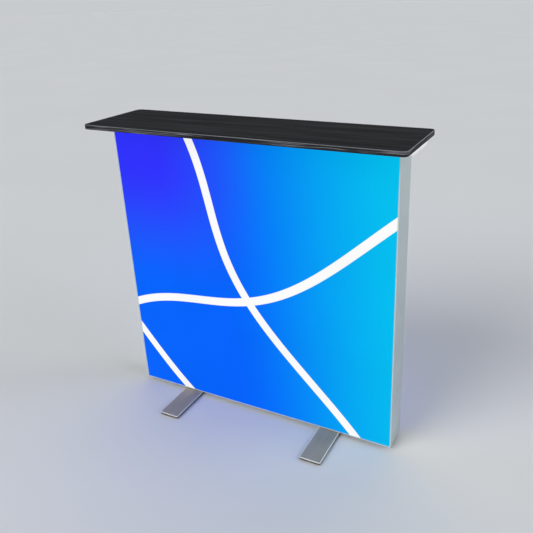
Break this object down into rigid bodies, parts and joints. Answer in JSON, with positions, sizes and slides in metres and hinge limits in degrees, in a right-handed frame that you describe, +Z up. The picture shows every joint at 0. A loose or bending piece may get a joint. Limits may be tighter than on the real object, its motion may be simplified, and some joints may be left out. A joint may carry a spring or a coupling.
{
  "type": "exhibition counter",
  "caption": "Free-standing exhibition counter: a square frame with backlit stretch-fabric faces, a dark wood-grain top with rounded corners and flat swivelling feet.",
  "frame": {"origin": "on the floor under the middle of the frame", "axes": "+X to the right along the front face, +Y from the front graphic to the back, +Z up"},
  "size_m": [1.085, 0.42, 1.032],
  "materials": {
    "frame_aluminium": "satin anodised extrusion",
    "printed_fabric": "printed stretch textile, lit from inside",
    "silicone_strip": "translucent silicone",
    "angle_steel": "zinc-plated",
    "rail_aluminium": "mill finish",
    "lens_strip": "white board with clear lenses",
    "driver_case": "ribbed case",
    "black_sheath": "round mains flex",
    "white_sheath": "thin low-voltage lead",
    "clip_plastic": "moulded saddle",
    "inlet_plastic": "fine-textured moulding",
    "pin_brass": "plated contact",
    "rocker_plastic": "smooth moulding",
    "carrier_white": "white moulding",
    "bolt_steel": "zinc-plated",
    "insert_brass": "threaded insert",
    "board_core": "particle board with a dark backing sheet",
    "laminate_charcoal": "wood-grain laminate",
    "edge_charcoal": "wood-grain edge band",
    "foot_steel": "brushed plate with bright chamfer",
    "pad_rubber": "rubber pad",
    "washer_nylon": "thrust washer"
  },
  "bodies": {
    "lightbox": {"profile_left": "frame_aluminium", "profile_top": "frame_aluminium", "profile_right": "frame_aluminium", "profile_bottom": "frame_aluminium", "front_graphic": "printed_fabric", "rear_graphic": "printed_fabric", "front_bead_left": "silicone_strip", "front_bead_top": "silicone_strip", "front_bead_right": "silicone_strip", "front_bead_bottom": "silicone_strip", "rear_bead_left": "silicone_strip", "rear_bead_top": "silicone_strip", "rear_bead_right": "silicone_strip", "rear_bead_bottom": "silicone_strip", "corner_angle_bottom_left": "angle_steel", "corner_angle_top_left": "angle_steel", "corner_angle_top_right": "angle_steel", "corner_angle_bottom_right": "angle_steel", "led_rail_left": "rail_aluminium", "led_rail_right": "rail_aluminium", "led_strip_left": "lens_strip", "led_strip_right": "lens_strip", "led_driver": "driver_case", "mains_lead": "black_sheath", "led_lead_left": "white_sheath", "led_lead_right": "white_sheath", "lead_clip_left": "clip_plastic", "lead_clip_right": "clip_plastic", "inlet_housing": "inlet_plastic", "inlet_pin_left": "pin_brass", "inlet_pin_right": "pin_brass", "inlet_pin_earth": "pin_brass", "carrier_left": "carrier_white", "carrier_right": "carrier_white", "board_bolt_left_outer": "bolt_steel", "board_bolt_left_inner": "bolt_steel", "board_bolt_right_outer": "bolt_steel", "board_bolt_right_inner": "bolt_steel", "board_insert_left_outer": "insert_brass", "board_insert_left_inner": "insert_brass", "board_insert_right_outer": "insert_brass", "board_insert_right_inner": "insert_brass", "countertop_board": "board_core", "countertop_laminate": "laminate_charcoal", "countertop_edge_band": "edge_charcoal", "foot_bolt_left": "bolt_steel", "foot_bolt_right": "bolt_steel", "foot_clamp_plate_left": "bolt_steel", "foot_clamp_plate_right": "bolt_steel", "foot_washer_left": "washer_nylon", "foot_washer_right": "washer_nylon"},
    "foot_left": {"foot_left": "foot_steel", "foot_pad_left_front": "pad_rubber", "foot_pad_left_rear": "pad_rubber"},
    "foot_right": {"foot_right": "foot_steel", "foot_pad_right_front": "pad_rubber", "foot_pad_right_rear": "pad_rubber"},
    "rocker": {"inlet_rocker": "rocker_plastic"}
  },
  "joints": [
    {"name": "foot_left_swivel", "type": "hinge", "parent": "lightbox", "child": "foot_left", "pos_m": [-0.28, 0, 0.007], "axis": [0, 0, 1], "range_deg": [0, 90]},
    {"name": "foot_right_swivel", "type": "hinge", "parent": "lightbox", "child": "foot_right", "pos_m": [0.28, 0, 0.007], "axis": [0, 0, 1], "range_deg": [0, 90]},
    {"name": "rocker_tilt", "type": "hinge", "parent": "lightbox", "child": "rocker", "pos_m": [-0.4996, 0, 0.1226], "axis": [0, 1, 0], "range_deg": [-16, 0]}
  ]
}
